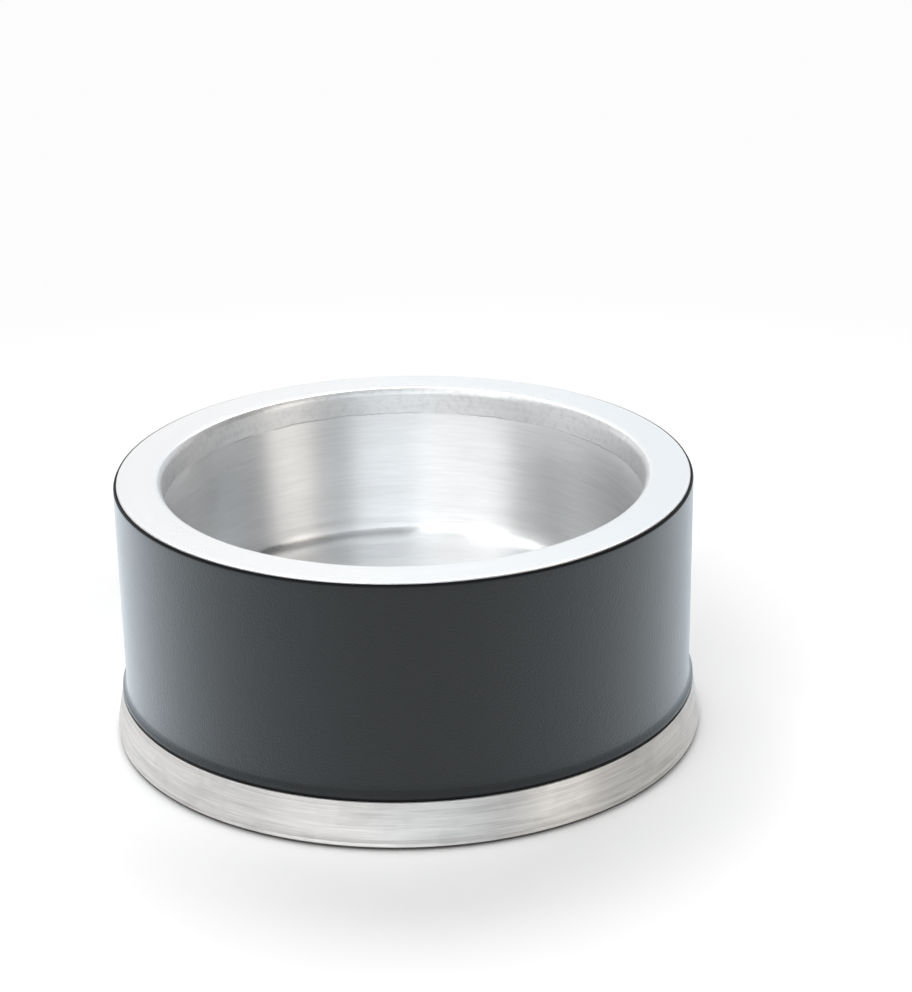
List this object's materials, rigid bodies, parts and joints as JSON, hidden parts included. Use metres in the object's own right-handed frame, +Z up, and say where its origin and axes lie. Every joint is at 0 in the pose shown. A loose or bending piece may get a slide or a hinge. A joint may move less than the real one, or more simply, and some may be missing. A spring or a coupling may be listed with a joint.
{
  "type": "insulated dog water bowl",
  "caption": "Round double-walled dog water bowl: bright flat-rimmed liner, black casing with poured foam inside, flared metal base pan and rubber foot ring.",
  "frame": {"origin": "centre of the rubber foot ring's underside, on the surface that the bowl stands on", "axes": "+Z up along the bowl's axis; the bowl is turned about Z, and +Y points at the first vent plug"},
  "size_m": [0.206, 0.206, 0.0935],
  "materials": {
    "liner_aluminium": "satin, brushed round the axis inside, near-white flat rim",
    "casing_coat": "matte black powder coat with a fine mottle",
    "base_aluminium": "brushed round the axis",
    "rigid_foam": "cut rigid foam",
    "sealant": "cured sealant",
    "foot_rubber": "matte moulded rubber",
    "plug_plastic": "moulded"
  },
  "bodies": {
    "root": {"bowl_liner": "liner_aluminium", "outer_casing": "casing_coat", "base_pan": "base_aluminium", "foam_fill": "rigid_foam", "rim_sealant": "sealant", "base_sealant": "sealant", "foot_ring": "foot_rubber", "fill_plug": "plug_plastic", "vent_plug_1": "plug_plastic", "vent_plug_2": "plug_plastic", "vent_plug_3": "plug_plastic"}
  },
  "joints": []
}
